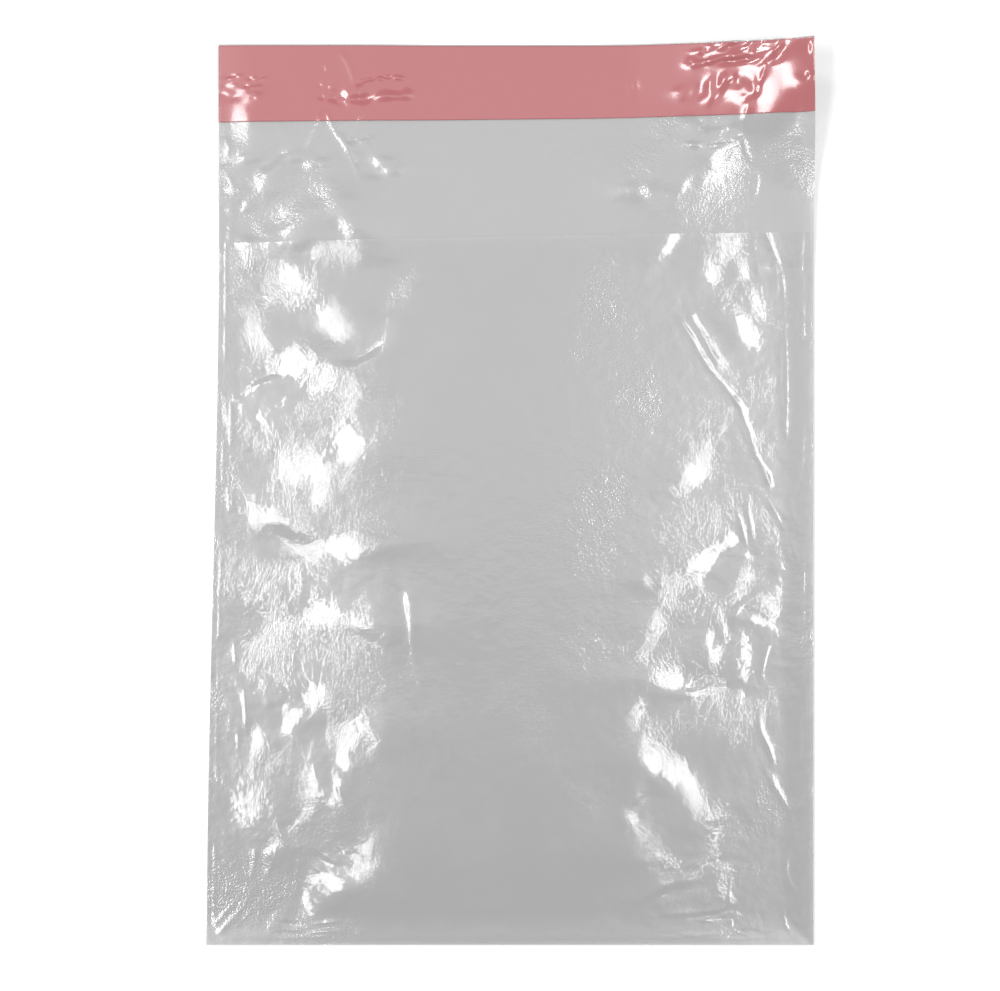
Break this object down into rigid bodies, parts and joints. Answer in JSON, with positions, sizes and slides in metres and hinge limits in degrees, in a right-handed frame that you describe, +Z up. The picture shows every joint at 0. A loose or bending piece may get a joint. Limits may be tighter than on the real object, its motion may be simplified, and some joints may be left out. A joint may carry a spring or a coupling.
{
  "type": "clear self-seal mailing bag",
  "caption": "Clear film bag lying flat, welded along both sides, open at the mouth, with a long lip that carries adhesive under a coloured peel-off liner.",
  "frame": {"origin": "middle of the outline, on the surface that the bag lies on", "axes": "+Z up out of the front panel, +Y from the bottom fold to the end of the lip, X across the bag"},
  "size_m": [0.25, 0.371, 0.0133],
  "materials": {
    "clear_film": "glossy clear film with a light grey cast",
    "adhesive": "tacky adhesive under the liner",
    "liner_film": "glossy pinkish red liner film"
  },
  "bodies": {
    "root": {"bag_film": "clear_film", "adhesive_strip": "adhesive", "release_liner": "liner_film"}
  },
  "joints": []
}
